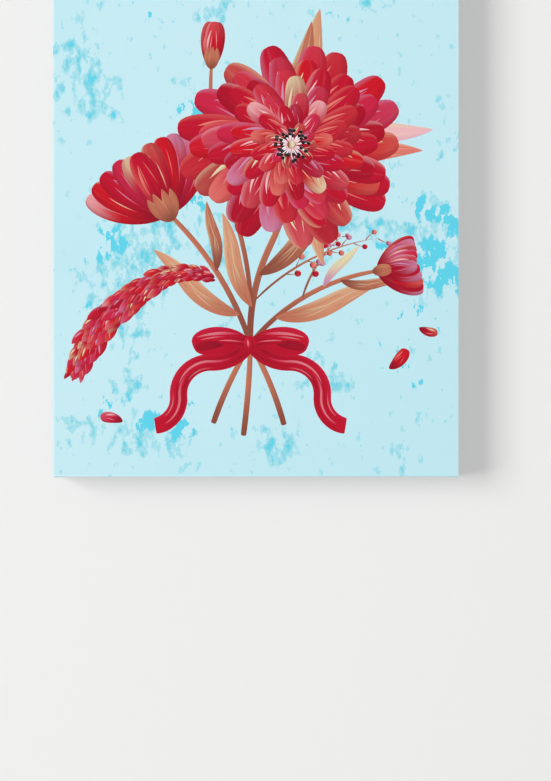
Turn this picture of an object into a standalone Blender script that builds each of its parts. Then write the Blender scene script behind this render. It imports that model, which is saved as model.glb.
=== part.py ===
"""A stretched canvas wall print: a printed canvas wrapped round a keyed pine frame.

The picture hangs on a wall and faces -Y. The wall is the plane y = 0 and +Z is up. The origin
is on the wall, level with the top of the hanger's middle notch, where the wall's nail holds it.
Run it with: blender --background --python part.py
"""
import math

import bmesh
import bpy
from mathutils import Matrix, Vector

# Driving dimensions, in metres.
PICTURE_WIDTH = 0.457
PICTURE_HEIGHT = 0.610
WRAP_DEPTH = 0.038            # front of the print to the back of the folded canvas
WALL_GAP = 0.003              # the wall to the folded canvas, kept by the bumpers
HANG_DEPTH = 0.030            # top edge of the picture down to the nail
GAP = 0.0003                  # between pieces that touch

CANVAS_THICKNESS = 0.0006
FLAP_WIDTH = 0.022            # canvas folded over the back of the frame
EDGE_RADIUS = 0.002
EDGE_SEGMENTS = 4

BAR_WIDTH = 0.038
BAR_LIP = 0.005               # the only part of a bar's front that the canvas touches
BAR_FRONT_SLOPE = 0.006       # how far a bar's front falls back at its inner edge
BAR_ARRIS = 0.0012            # the small chamfer along a bar's outer edges and tips
BAR_INNER_ARRIS = 0.0008

KEY_THICKNESS = 0.003
KEY_IN = 0.015                # how far a key is driven into its slot
KEY_OUT = 0.013               # how far it stands out of the bar
KEY_WIDTH = 0.0165            # at its outer end
KEY_TIP_WIDTH = 0.0115
KEY_INSET = 0.0015            # the frame's inner corner to a key's straight side
KEY_LEVEL_STEP = 0.0045       # keys in level and upright bars lie this far either side of middle

BRACE_WIDTH = 0.030
BRACE_THICKNESS = 0.014
BRACE_TENON = 0.008
BRACE_INSET = 0.007           # the bars' back to the brace's back
CUT_MARGIN = 0.002            # how far a cutter stands out of what it cuts

HANGER_LENGTH = 0.046
HANGER_HEIGHT = 0.009
HANGER_SHEET = 0.0009
HANGER_TAB = 0.008            # the flat end that a nail goes through
HANGER_SLOPE = 0.002
HANGER_RISE = 0.0015          # how far the toothed middle stands off its ends
TEETH = 11
TOOTH_PITCH = 0.0024
TOOTH_DEPTH = 0.0016
TOOTH_TIP = 0.0003
NAIL_HOLE_RADIUS = 0.0009
NAIL_SHANK_RADIUS = 0.0006
NAIL_HEAD_RADIUS = 0.0015
NAIL_HEAD_THICKNESS = 0.0006
NAIL_LENGTH = 0.010

BUMPER_RADIUS = 0.006
BUMPER_SIDE_INSET = 0.048     # picture's side to a bumper's middle
BUMPER_LOW_INSET = 0.031      # picture's lower edge to a bumper's middle
BUMPER_BEVEL = 0.0008

# Places worked out from them.
PICTURE_MIDDLE = HANG_DEPTH - PICTURE_HEIGHT / 2
FLAP_BACK = -WALL_GAP
PRINT_FRONT = FLAP_BACK - WRAP_DEPTH
BAR_OUTSET = CANVAS_THICKNESS + GAP       # the picture's edge to a bar's outer face
BAR_BACK = FLAP_BACK - BAR_OUTSET
BAR_DEPTH = WRAP_DEPTH - 2 * BAR_OUTSET
FRAME_HALF_WIDTH = PICTURE_WIDTH / 2 - BAR_OUTSET
FRAME_HALF_HEIGHT = PICTURE_HEIGHT / 2 - BAR_OUTSET
BRACE_MIDDLE = BAR_BACK - BRACE_INSET - BRACE_THICKNESS / 2
FITTING_FRONT = BAR_BACK + GAP            # the face of a hanger or bumper that lies on a bar's back
HANGER_MIDDLE = HANGER_HEIGHT / 2 - TOOTH_DEPTH
NAIL_REACH = (HANGER_LENGTH - HANGER_TAB) / 2

# A side of the frame: how far its outer edge is from the picture's middle, its half length, and
# the quarter turns about Y that take the bottom side to it.
SIDES = {
    "bottom": (FRAME_HALF_HEIGHT, FRAME_HALF_WIDTH, 0),
    "left": (FRAME_HALF_WIDTH, FRAME_HALF_HEIGHT, 1),
    "top": (FRAME_HALF_HEIGHT, FRAME_HALF_WIDTH, 2),
    "right": (FRAME_HALF_WIDTH, FRAME_HALF_HEIGHT, 3),
}
# The depth of each side's keys, in front of the bars' back.
KEY_LEVELS = {
    "bottom": BAR_DEPTH / 2 + KEY_LEVEL_STEP,
    "left": BAR_DEPTH / 2 - KEY_LEVEL_STEP,
    "top": BAR_DEPTH / 2 + KEY_LEVEL_STEP,
    "right": BAR_DEPTH / 2 - KEY_LEVEL_STEP,
}

# Finishes: colour, roughness, metallic.
CANVAS_FINISH = ((0.540, 0.812, 0.871), 0.75, 0.0)
PINE_FINISH = ((0.640, 0.450, 0.270), 0.62, 0.0)
KEY_FINISH = ((0.560, 0.360, 0.190), 0.55, 0.0)
STEEL_FINISH = ((0.600, 0.590, 0.560), 0.35, 1.0)
BUMPER_FINISH = ((0.075, 0.075, 0.080), 0.80, 0.0)


def clear_scene():
    for obj in list(bpy.data.objects):
        bpy.data.objects.remove(obj, do_unlink=True)


def new_collection(name):
    collection = bpy.data.collections.new(name)
    bpy.context.scene.collection.children.link(collection)
    return collection


def make_material(name, finish):
    colour, roughness, metallic = finish
    material = bpy.data.materials.new(name)
    material.use_nodes = True
    shader = material.node_tree.nodes["Principled BSDF"]
    shader.inputs["Base Color"].default_value = (*colour, 1.0)
    shader.inputs["Roughness"].default_value = roughness
    shader.inputs["Metallic"].default_value = metallic
    material.diffuse_color = (*colour, 1.0)
    return material


def move_to(collection, obj):
    for holder in list(obj.users_collection):
        holder.objects.unlink(obj)
    collection.objects.link(obj)


def finish_part(obj, name, material, smooth=False):
    """Names a part, gives it its material and files it with the other parts."""
    obj.name = name
    obj.data.name = name
    obj.data.materials.clear()
    obj.data.materials.append(material)
    if smooth:
        obj.data.shade_smooth()
        obj.data.set_sharp_from_angle(angle=math.radians(35))
    move_to(parts, obj)
    return obj


def cut(obj, cutter):
    """Takes the cutter's shape out of obj."""
    modifier = obj.modifiers.new("cut", "BOOLEAN")
    modifier.operation = "DIFFERENCE"
    modifier.solver = "EXACT"
    modifier.object = cutter
    cutter.name = "cutter for " + obj.name
    cutter.hide_render = True
    cutter.display_type = "WIRE"
    move_to(cutters, cutter)


def bevel(obj, width, segments):
    modifier = obj.modifiers.new("soft edges", "BEVEL")
    modifier.width = width
    modifier.segments = segments
    modifier.limit_method = "ANGLE"
    modifier.angle_limit = math.radians(40)


def box(size, centre):
    bpy.ops.mesh.primitive_cube_add(size=1, location=centre)
    obj = bpy.context.object
    obj.data.transform(Matrix.Diagonal((*size, 1)))
    return obj


def cylinder(radius, depth, centre, vertices):
    """A cylinder whose axis runs along Y."""
    bpy.ops.mesh.primitive_cylinder_add(vertices=vertices, radius=radius, depth=depth, location=centre,
                                        rotation=(math.pi / 2, 0, 0))
    return bpy.context.object


def prism(name, outline, length, axes):
    """A flat outline extruded evenly to either side.

    axes says where the outline's x, its y and the extrusion point to.
    """
    curve = bpy.data.curves.new(name, "CURVE")
    curve.dimensions = "2D"
    curve.fill_mode = "BOTH"
    curve.extrude = length / 2
    spline = curve.splines.new("POLY")
    spline.points.add(len(outline) - 1)
    for point, (x, y) in zip(spline.points, outline):
        point.co = (x, y, 0, 1)
    spline.use_cyclic_u = True
    drawn = bpy.data.objects.new(name, curve)
    bpy.context.scene.collection.objects.link(drawn)
    graph = bpy.context.evaluated_depsgraph_get()
    mesh = bpy.data.meshes.new_from_object(drawn.evaluated_get(graph))
    bpy.data.objects.remove(drawn)
    mesh.transform(Matrix(axes).transposed().to_4x4())
    shape = bmesh.new()
    shape.from_mesh(mesh)
    bmesh.ops.remove_doubles(shape, verts=shape.verts, dist=1e-6)
    bmesh.ops.recalc_face_normals(shape, faces=shape.faces)
    shape.to_mesh(mesh)
    shape.free()
    solid = bpy.data.objects.new(name, mesh)
    bpy.context.scene.collection.objects.link(solid)
    return solid


def slice_off(obj, point, normal):
    """Cuts obj flat at a plane and removes what lies on the normal's side."""
    shape = bmesh.new()
    shape.from_mesh(obj.data)
    everything = shape.verts[:] + shape.edges[:] + shape.faces[:]
    found = bmesh.ops.bisect_plane(shape, geom=everything, dist=1e-7, plane_co=point, plane_no=normal,
                                   clear_outer=True)
    edges = [item for item in found["geom_cut"] if isinstance(item, bmesh.types.BMEdge)]
    bmesh.ops.contextual_create(shape, geom=edges)
    bmesh.ops.recalc_face_normals(shape, faces=shape.faces)
    shape.to_mesh(obj.data)
    shape.free()


def turned(name, profile, steps):
    """A solid turned about Y, from (radius, y) points that run down its outside."""
    mesh = bpy.data.meshes.new(name)
    points = [(radius, y, 0) for radius, y in profile]
    edges = [(index, index + 1) for index in range(len(profile) - 1)]
    mesh.from_pydata(points, edges, [])
    obj = bpy.data.objects.new(name, mesh)
    bpy.context.scene.collection.objects.link(obj)
    screw = obj.modifiers.new("turn", "SCREW")
    screw.axis = "Y"
    screw.steps = steps
    screw.render_steps = steps
    screw.use_merge_vertices = True
    screw.merge_threshold = 1e-6
    return obj


def put_on_side(obj, side, along, inwards, forwards):
    """Places a piece on one of the frame's sides.

    The piece is modelled for the bottom side: X runs along it, Z inwards and -Y forwards.
    """
    outer, _, turns = SIDES[side]
    turn = Matrix.Rotation(turns * math.pi / 2, 4, "Y")
    middle = Vector((0, BAR_BACK, PICTURE_MIDDLE))
    offset = Vector((along, -forwards, inwards - outer))
    obj.matrix_world = Matrix.Translation(middle) @ turn @ Matrix.Translation(offset)


def make_canvas(material):
    """The canvas as one skin: its front, four sides, and the flaps folded over the frame's back."""
    centre = (0, (FLAP_BACK + PRINT_FRONT) / 2, PICTURE_MIDDLE)
    canvas = box((PICTURE_WIDTH, WRAP_DEPTH, PICTURE_HEIGHT), centre)
    shape = bmesh.new()
    shape.from_mesh(canvas.data)
    bmesh.ops.bevel(shape, geom=shape.edges[:], offset=EDGE_RADIUS, offset_type="OFFSET",
                    segments=EDGE_SEGMENTS, profile=0.5, affect="EDGES")
    back = max(shape.faces, key=lambda face: face.calc_center_median().y)
    bmesh.ops.inset_region(shape, faces=[back], thickness=FLAP_WIDTH - EDGE_RADIUS)
    bmesh.ops.delete(shape, geom=[back], context="FACES_ONLY")
    shape.to_mesh(canvas.data)
    shape.free()
    skin = canvas.modifiers.new("canvas thickness", "SOLIDIFY")
    skin.thickness = CANVAS_THICKNESS
    skin.offset = -1
    skin.use_even_offset = True
    finish_part(canvas, "canvas", material, smooth=True)


def bar_outline():
    """A bar's section: x from its back to its front, y from its outer edge inwards."""
    return [
        (BAR_ARRIS, 0),
        (BAR_DEPTH - BAR_ARRIS, 0),
        (BAR_DEPTH, BAR_ARRIS),
        (BAR_DEPTH, BAR_LIP),
        (BAR_DEPTH - BAR_ARRIS, BAR_LIP + BAR_ARRIS),
        (BAR_DEPTH - BAR_FRONT_SLOPE, BAR_WIDTH),
        (BAR_INNER_ARRIS, BAR_WIDTH),
        (0, BAR_WIDTH - BAR_INNER_ARRIS),
        (0, BAR_ARRIS),
    ]


def make_bar(side, material):
    """A bar with mitred ends, its outer tips eased to clear the canvas's rounded corners."""
    reach = SIDES[side][1]
    name = "bar_" + side
    bar = prism(name, bar_outline(), 2 * reach, axes=((0, -1, 0), (0, 0, 1), (1, 0, 0)))
    for end in (-1, 1):
        slice_off(bar, (end * (reach - GAP / math.sqrt(2)), 0, 0), (end, 0, 1))
        slice_off(bar, (end * (reach - BAR_ARRIS), 0, 0), (end, 0, -1))
    put_on_side(bar, side, along=0, inwards=0, forwards=0)
    return finish_part(bar, name, material)


def add_key(bar, side, end, name, material):
    """A wedge driven into a slot near one end of a bar, straight on the side by the corner."""
    corner = end * (SIDES[side][1] - BAR_WIDTH - KEY_INSET)
    level = KEY_LEVELS[side]
    outline = [
        (0, -KEY_IN),
        (KEY_TIP_WIDTH, -KEY_IN),
        (KEY_WIDTH, KEY_OUT),
        (0, KEY_OUT),
    ]
    key = prism(name, outline, KEY_THICKNESS, axes=((-end, 0, 0), (0, 0, 1), (0, 1, 0)))
    put_on_side(key, side, along=corner, inwards=BAR_WIDTH, forwards=level)
    finish_part(key, name, material)
    slot_size = (KEY_WIDTH + 2 * GAP, KEY_THICKNESS + 2 * GAP, KEY_IN + GAP + CUT_MARGIN)
    slot = box(slot_size, (0, 0, 0))
    slot_middle = BAR_WIDTH + (CUT_MARGIN - KEY_IN - GAP) / 2
    put_on_side(slot, side, along=corner - end * KEY_WIDTH / 2, inwards=slot_middle, forwards=level)
    cut(bar, slot)


def make_brace(bars, material):
    """A level brace at mid-height, let into a shallow mortise in each upright bar."""
    reach = FRAME_HALF_WIDTH - BAR_WIDTH + BRACE_TENON
    brace = box((2 * reach, BRACE_THICKNESS, BRACE_WIDTH), (0, BRACE_MIDDLE, PICTURE_MIDDLE))
    bevel(brace, BAR_INNER_ARRIS, segments=1)
    finish_part(brace, "brace", material)
    length = BRACE_TENON + GAP + CUT_MARGIN
    size = (length, BRACE_THICKNESS + 2 * GAP, BRACE_WIDTH + 2 * GAP)
    for side, sign in (("left", -1), ("right", 1)):
        middle = sign * (reach + GAP - length / 2)
        cut(bars[side], box(size, (middle, BRACE_MIDDLE, PICTURE_MIDDLE)))


def hanger_outline():
    """The bent strip seen from below: x along it, y from the bar towards the wall."""
    end = HANGER_LENGTH / 2
    tab = end - HANGER_TAB
    crest = tab - HANGER_SLOPE
    path = [(-end, 0), (-tab, 0), (-crest, HANGER_RISE), (crest, HANGER_RISE), (tab, 0), (end, 0)]
    return path + [(x, y + HANGER_SHEET) for x, y in reversed(path)]


def make_hanger(material):
    """A sawtooth strip: a nailed tab at each end, and a toothed middle that stands off the bar."""
    hanger = prism("hanger", hanger_outline(), HANGER_HEIGHT, axes=((1, 0, 0), (0, 1, 0), (0, 0, 1)))
    hanger.location = (0, FITTING_FRONT, HANGER_MIDDLE)
    finish_part(hanger, "hanger", material)
    mouth = (TOOTH_PITCH - TOOTH_TIP) / 2 * (TOOTH_DEPTH + CUT_MARGIN) / TOOTH_DEPTH
    notch_outline = [(-mouth, -TOOTH_DEPTH - CUT_MARGIN), (mouth, -TOOTH_DEPTH - CUT_MARGIN), (0, 0)]
    for number in range(TEETH):
        notch = prism("notch", notch_outline, 2 * CUT_MARGIN, axes=((1, 0, 0), (0, 0, 1), (0, 1, 0)))
        notch.location = ((number - (TEETH - 1) / 2) * TOOTH_PITCH, FITTING_FRONT + HANGER_RISE, 0)
        cut(hanger, notch)
    return hanger


def nail_profile():
    """A nail's outside from its head, at y = 0 under the head, to its tip."""
    return [
        (0, NAIL_HEAD_THICKNESS),
        (NAIL_HEAD_RADIUS * 0.8, NAIL_HEAD_THICKNESS * 0.8),
        (NAIL_HEAD_RADIUS, 0),
        (NAIL_SHANK_RADIUS, 0),
        (NAIL_SHANK_RADIUS, 2 * NAIL_SHANK_RADIUS - NAIL_LENGTH),
        (0, -NAIL_LENGTH),
    ]


def add_nail(name, x, hanger, top_bar, material):
    """A small nail through one of the hanger's tabs, in a hole in the top bar."""
    under_head = FITTING_FRONT + HANGER_SHEET + GAP
    nail = turned(name, nail_profile(), steps=16)
    nail.location = (x, under_head, HANGER_MIDDLE)
    finish_part(nail, name, material, smooth=True)
    depth = NAIL_LENGTH + CUT_MARGIN
    for pierced in (hanger, top_bar):
        cut(pierced, cylinder(NAIL_HOLE_RADIUS, 2 * depth, (x, BAR_BACK, HANGER_MIDDLE), vertices=16))


def add_bumper(name, x, material):
    """A round pad on the bottom bar that keeps the picture off the wall."""
    depth = -FITTING_FRONT
    low = HANG_DEPTH - PICTURE_HEIGHT + BUMPER_LOW_INSET
    bumper = cylinder(BUMPER_RADIUS, depth, (x, FITTING_FRONT + depth / 2, low), vertices=32)
    bevel(bumper, BUMPER_BEVEL, segments=2)
    finish_part(bumper, name, material, smooth=True)


clear_scene()
parts = new_collection("stretched_canvas_print")
cutters = new_collection("cutters")
cutters.hide_render = True

make_canvas(make_material("printed canvas", CANVAS_FINISH))
pine = make_material("pine", PINE_FINISH)
frame_bars = {side: make_bar(side, pine) for side in SIDES}
make_brace(frame_bars, pine)

hardwood = make_material("key hardwood", KEY_FINISH)
for side, frame_bar in frame_bars.items():
    for number, end in enumerate((-1, 1), start=1):
        add_key(frame_bar, side, end, f"key_{side}_{number}", hardwood)

steel = make_material("zinc-plated steel", STEEL_FINISH)
sawtooth = make_hanger(steel)
add_nail("nail_left", -NAIL_REACH, sawtooth, frame_bars["top"], steel)
add_nail("nail_right", NAIL_REACH, sawtooth, frame_bars["top"], steel)

rubber = make_material("bumper rubber", BUMPER_FINISH)
bumper_reach = PICTURE_WIDTH / 2 - BUMPER_SIDE_INSET
add_bumper("bumper_left", -bumper_reach, rubber)
add_bumper("bumper_right", bumper_reach, rubber)
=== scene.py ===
"""Looks for a stretched canvas wall print: a printed floral canvas on a keyed pine frame.

The file is laid out as an add-on and run as a script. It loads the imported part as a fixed
frame, dresses it with one operator for each group of pieces, and places a wall, a floor,
lights and a camera.
"""
import math
import random

import bmesh
import bpy
from bpy.props import FloatProperty, FloatVectorProperty, IntProperty, PointerProperty
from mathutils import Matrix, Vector
from mathutils.geometry import delaunay_2d_cdt


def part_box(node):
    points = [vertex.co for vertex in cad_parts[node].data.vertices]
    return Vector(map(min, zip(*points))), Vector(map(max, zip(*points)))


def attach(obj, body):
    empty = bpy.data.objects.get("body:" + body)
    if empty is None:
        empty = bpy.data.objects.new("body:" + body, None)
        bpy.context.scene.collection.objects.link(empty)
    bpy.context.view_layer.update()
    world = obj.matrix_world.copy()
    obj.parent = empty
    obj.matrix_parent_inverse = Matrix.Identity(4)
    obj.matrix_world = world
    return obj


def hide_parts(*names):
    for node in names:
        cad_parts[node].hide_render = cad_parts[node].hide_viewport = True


bl_info = {
    "name": "Stretched Canvas Print",
    "version": (1, 0, 0),
    "blender": (4, 5, 0),
    "location": "View3D > Sidebar > Canvas Print",
    "description": "Dresses a stretched canvas print with its cloth, print, timber and fittings",
    "category": "Object",
}

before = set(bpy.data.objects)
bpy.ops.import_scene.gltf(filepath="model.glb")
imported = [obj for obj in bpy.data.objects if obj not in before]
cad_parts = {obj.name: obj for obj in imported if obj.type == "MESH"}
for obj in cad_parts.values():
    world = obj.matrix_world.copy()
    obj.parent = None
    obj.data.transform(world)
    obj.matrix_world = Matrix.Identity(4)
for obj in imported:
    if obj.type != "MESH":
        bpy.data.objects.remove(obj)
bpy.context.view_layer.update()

# The picture's own box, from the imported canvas. The wall is the plane y = 0.
CANVAS_LOW, CANVAS_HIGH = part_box("canvas")
PICTURE_WIDTH = CANVAS_HIGH.x - CANVAS_LOW.x
PICTURE_HEIGHT = CANVAS_HIGH.z - CANVAS_LOW.z
WRAP_DEPTH = CANVAS_HIGH.y - CANVAS_LOW.y
PICTURE_MIDDLE_Z = (CANVAS_LOW.z + CANVAS_HIGH.z) / 2

# How near a point has to be to a plane or another point to count as touching it.
TOUCH = 1e-5

# Where each side of the canvas lies in its own texture map: its left, its foot and its scale.
# The keys are the axis it faces along, whether it is on that axis's high side, and whether it
# faces out.
BAKE_PATCHES = {
    (1, False, True): (0.010, 0.010, 1.508),
    (1, False, False): (0.715, 0.010, 0.600),
    (0, False, True): (0.715, 0.400, 0.900),
    (0, True, True): (0.760, 0.400, 0.900),
    (1, True, True): (0.800, 0.400, 0.400),
    (2, False, True): (0.010, 0.945, 0.730),
    (2, True, True): (0.355, 0.945, 0.730),
    (1, True, False): (0.800, 0.660, 0.200),
    (0, False, False): (0.900, 0.660, 0.200),
    (0, True, False): (0.920, 0.660, 0.200),
    (2, False, False): (0.800, 0.800, 0.200),
    (2, True, False): (0.800, 0.820, 0.200),
}


def srgb(red, green, blue):
    """A colour from its usual 0 to 255 values, as the linear values that shaders use."""
    values = [channel / 255 for channel in (red, green, blue)]
    return tuple(v / 12.92 if v <= 0.04045 else ((v + 0.055) / 1.055) ** 2.4 for v in values)


def setting(name, default, description, **options):
    """A number's setting that is never below zero."""
    return FloatProperty(name=name, description=description, default=default, min=0.0, **options)


def length(name, default, description):
    """A setting in metres."""
    return setting(name, default, description, unit="LENGTH", precision=5)


def power(name, default, description):
    """A setting in watts."""
    return setting(name, default, description, unit="POWER")


def colour(name, red_green_blue, description):
    """A setting whose default is given from 0 to 255."""
    return FloatVectorProperty(name=name, description=description, default=srgb(*red_green_blue),
                               size=3, min=0.0, max=1.0, subtype="COLOR")


class ClothSettings(bpy.types.PropertyGroup):
    """The cloth and how it is folded over the frame"""

    thickness: length("Cloth thickness", 0.0006, "Thickness of the primed canvas")
    flap: length("Flap width", 0.022, "Cloth that is folded over the back")
    bleed: length("Bleed", 0.009, "How far the print runs on over the back")
    edge_radius: length("Edge radius", 0.0016, "Rounding of the wrapped edges")
    fold_width: length("Fold width", 0.030, "Width of the folded layer at each corner")
    weave_pitch: length("Weave pitch", 0.00085, "Spacing of the threads")
    raw: colour("Raw cloth", (226, 217, 198), "Unprinted cotton")


class PrintSettings(bpy.types.PropertyGroup):
    """The inks of the print"""

    seed: IntProperty(name="Seed", description="Varies the small random changes", default=11, min=0)
    ground: colour("Ground", (195, 235, 244), "The pale ground")
    fleck_pale: colour("Pale flecks", (165, 225, 237), "The faintest flecks on the ground")
    fleck_mid: colour("Middle flecks", (136, 215, 230), "The middle flecks on the ground")
    fleck_strong: colour("Strong flecks", (96, 213, 236), "The strongest flecks on the ground")
    crimson: colour("Crimson", (192, 10, 44), "The petals' main ink")
    deep: colour("Deep red", (140, 6, 32), "The petals' shaded ink")
    carmine: colour("Carmine", (176, 4, 38), "The petals' darker ink")
    scarlet: colour("Scarlet", (204, 12, 34), "The petals' brightest ink")
    rose: colour("Rose", (202, 32, 68), "The petals' lit ink")
    coral: colour("Coral", (226, 122, 110), "The petals' warm ink")
    mauve: colour("Mauve", (204, 142, 176), "The petals' cool ink")
    blush: colour("Blush", (240, 186, 190), "The palest pink ink")
    cream: colour("Cream", (226, 216, 176), "The light ink")
    terracotta: colour("Terracotta", (190, 112, 86), "The leaves' and stems' ink")
    tan: colour("Tan", (214, 152, 118), "The leaves' and stems' lit ink")
    clay: colour("Clay", (140, 74, 58), "The leaves' and stems' shaded ink")
    white: colour("White", (247, 246, 249), "The white accents")
    black: colour("Black", (28, 6, 10), "The black accents")


class TimberSettings(bpy.types.PropertyGroup):
    """The frame's timber"""

    early: colour("Early wood", (226, 190, 142), "The light part of each growth ring")
    late: colour("Late wood", (190, 138, 86), "The dark part of each growth ring")
    knot: colour("Knot", (112, 66, 36), "The middle of a knot")
    hardwood: colour("Key wood", (205, 164, 118), "The corner keys")
    ring_pitch: length("Ring pitch", 0.0034, "Spacing of the growth rings")
    joint_pitch: length("Joint pitch", 0.29, "Spacing of the finger joints along a bar")


class FittingSettings(bpy.types.PropertyGroup):
    """The staples, hanger and bumpers"""

    staple_crown: length("Staple crown", 0.0115, "Length of a staple's crown")
    staple_wire: length("Staple wire", 0.0011, "Width of a staple's wire")
    staple_pitch: length("Staple pitch", 0.042, "Distance from staple to staple")
    staple_inset: length("Staple inset", 0.0145, "A staple's distance from the picture's edge")
    zinc: colour("Zinc", (196, 198, 200), "Plated steel")
    rubber: colour("Rubber", (44, 44, 47), "The bumpers")


class StageSettings(bpy.types.PropertyGroup):
    """The wall, the floor and the light"""

    wall: colour("Wall", (240, 240, 239), "The plain wall")
    floor: colour("Floor", (226, 225, 224), "The plain floor")
    floor_drop: length("Floor drop", 1.75, "The nail's height over the floor")
    wall_gap: length("Wall gap", 0.0006, "How far the wall stands behind the rubber bumpers")
    key_power: power("Key light", 820.0, "The large soft light on the left")
    fill: setting("Fill light", 1.50, "The light from the front")
    top: setting("Top light", 1.0, "The light from above")
    side: setting("Side light", 2.3, "The light from the right")
    below: setting("Low light", 1.2, "The light from below")
    back: setting("Back light", 2.7, "The light behind the picture")
    ambient: setting("Ambient", 0.13, "The light from all around")
    backdrop: setting("Backdrop", 0.84, "How bright the space around looks")
    mirrored: setting("Mirrored", 0.4, "How much of the backdrop's brightness metal mirrors")
    view_distance: length("View distance", 2.7, "The camera's distance from the wall")
    view_height: length("View height", 0.8795, "Height of what the camera sees at the print")
    view_across: length("View across", 0.0222, "How far right of the picture's middle the camera is")
    view_up: length("View up", 0.0972, "How far over the picture's foot the camera is")


class CanvasPrintSettings(bpy.types.PropertyGroup):
    """All of the picture's settings"""

    cloth: PointerProperty(type=ClothSettings)
    ink: PointerProperty(type=PrintSettings)
    timber: PointerProperty(type=TimberSettings)
    fittings: PointerProperty(type=FittingSettings)
    stage: PointerProperty(type=StageSettings)


# ---------------------------------------------------------------------------------------------
# Shader maths


def operator(operation, swapped=False):
    """A Python operator that adds a Math node. Its reflected form swaps the two values."""
    def method(self, other):
        values = (other, self) if swapped else (self, other)
        return self.graph.maths(operation, *values)
    return method


class Socket:
    """A node's output, with Python's operators as Math nodes."""

    def __init__(self, graph, output):
        self.graph = graph
        self.output = output

    __add__, __radd__ = operator("ADD"), operator("ADD", swapped=True)
    __sub__, __rsub__ = operator("SUBTRACT"), operator("SUBTRACT", swapped=True)
    __mul__, __rmul__ = operator("MULTIPLY"), operator("MULTIPLY", swapped=True)
    __truediv__, __rtruediv__ = operator("DIVIDE"), operator("DIVIDE", swapped=True)
    __pow__, __rpow__ = operator("POWER"), operator("POWER", swapped=True)

    def __neg__(self):
        return self * -1.0

    def __abs__(self):
        return self.maths("ABSOLUTE")

    def maths(self, operation, *others):
        """A Math node with this value first."""
        return self.graph.maths(operation, self, *others)

    def ramp(self, low, high):
        """0 up to low, 1 from high on, and a smooth step between them. Low may be the larger one."""
        inputs = {"Value": self, "From Min": low, "From Max": high}
        return self.graph.node("ShaderNodeMapRange", {"interpolation_type": "SMOOTHSTEP"}, inputs)

    def clamped(self, low, high):
        return self.maths("MINIMUM", high).maths("MAXIMUM", low)


class Graph:
    """A tree of shader nodes, which grows by a node at a time."""

    def __init__(self, tree):
        self.tree = tree

    def node(self, kind, settings=None, inputs=None, output=0):
        """Adds any node: its settings first, then the values or links of its sockets."""
        node = self.tree.nodes.new(kind)
        for name, value in (settings or {}).items():
            setattr(node, name, value)
        for name, value in (inputs or {}).items():
            self.feed(node.inputs[name], value)
        return Socket(self, node.outputs[output])

    def feed(self, socket, value):
        """Links a socket to a node's output, or sets it to a number or a colour."""
        if isinstance(value, Socket):
            self.tree.links.new(value.output, socket)
        elif socket.type == "RGBA":
            socket.default_value = (*value, 1.0)
        else:
            socket.default_value = value

    def maths(self, operation, *values):
        """A Math node."""
        return self.node("ShaderNodeMath", {"operation": operation}, dict(enumerate(values)))


class Finish(Graph):
    """A new material and the nodes that draw it."""

    def __init__(self, name):
        self.material = bpy.data.materials.new(name)
        self.material.use_nodes = True
        super().__init__(self.material.node_tree)
        self.shader = self.tree.nodes["Principled BSDF"]

    def place(self):
        """Object coordinates, which are the picture's own metres."""
        return self.node("ShaderNodeTexCoord", output="Object")

    def split(self, vector):
        """A vector's three parts."""
        parts = self.node("ShaderNodeSeparateXYZ", None, {"Vector": vector}).output.node.outputs
        return [Socket(self, part) for part in parts]

    def joined(self, x, y, z):
        return self.node("ShaderNodeCombineXYZ", None, {"X": x, "Y": y, "Z": z})

    def attribute(self, name, output="Vector"):
        return self.node("ShaderNodeAttribute", {"attribute_name": name}, output=output)

    def noise(self, vector, scale, detail, roughness=0.5):
        inputs = {"Vector": vector, "Scale": scale, "Detail": detail, "Roughness": roughness}
        return self.node("ShaderNodeTexNoise", None, inputs)

    def grain(self, parts, scales, detail):
        """Noise that is finer along one direction than another: each part has its own scale."""
        vector = self.joined(*(part * scale for part, scale in zip(parts, scales)))
        return self.noise(vector, 1.0, detail)

    def cells(self, vector):
        """The distance from the middle of the nearest of a field of scattered cells."""
        inputs = {"Vector": vector, "Scale": 1.0}
        return self.node("ShaderNodeTexVoronoi", {"feature": "F1"}, inputs, "Distance")

    def chance(self, number):
        """A random value from 0 to 1 for each number."""
        return self.node("ShaderNodeTexWhiteNoise", {"noise_dimensions": "1D"}, {"W": number}, "Value")

    def mix(self, factor, first, second, mode="MIX"):
        """Mixes two colours."""
        settings = {"data_type": "RGBA", "blend_type": mode}
        return self.node("ShaderNodeMix", settings, {"Factor": factor, 6: first, 7: second}, output=2)

    def scaled(self, vector, factor):
        """A colour or vector, scaled as a whole."""
        return self.node("ShaderNodeVectorMath", {"operation": "SCALE"}, {0: vector, "Scale": factor})

    def bump(self, height, distance, strength):
        """Lets a height in the range 0 to 1 tilt the surface."""
        inputs = {"Height": height, "Distance": distance, "Strength": strength}
        self.feed(self.shader.inputs["Normal"], self.node("ShaderNodeBump", None, inputs))

    def surface(self, **values):
        """Sets or links the shader's own sockets, named with underscores for spaces."""
        for name, value in values.items():
            self.feed(self.shader.inputs[name.replace("_", " ")], value)
        return self.material


# ---------------------------------------------------------------------------------------------
# The print: brush strokes along arcs

# How a stroke's width grows from its root and falls to its tip, as the powers of s and 1 - s.
PETAL = (0.62, 0.36)
LEAF = (0.70, 0.85)
BLADE = (0.35, 0.95)
STEM = (0.05, 0.12)
DISC = (0.50, 0.50)
RIBBON = (0.12, 0.04)

# Where the painted light comes from, across and up.
LIGHT_FROM = Vector((-0.55, 0.83))

# The least turn of an arc: even a straight stroke needs a centre to bend round.
LEAST_BEND = 0.03

# The steps of an outline along one arc of a broad stroke, and along a stroke that is so slim
# that it needs fewer.
STROKE_STEPS = 18
SLIM_STEPS = 8
SLIM_WIDTH = 0.0012

# How near two shares of a stroke's length may be, the half width below which a stroke has come
# to a point, and the most that a share is out by through rounding.
NEAREST_SHARES = 1e-4
POINTED = 1e-6
ROUNDING = 1e-9

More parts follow.
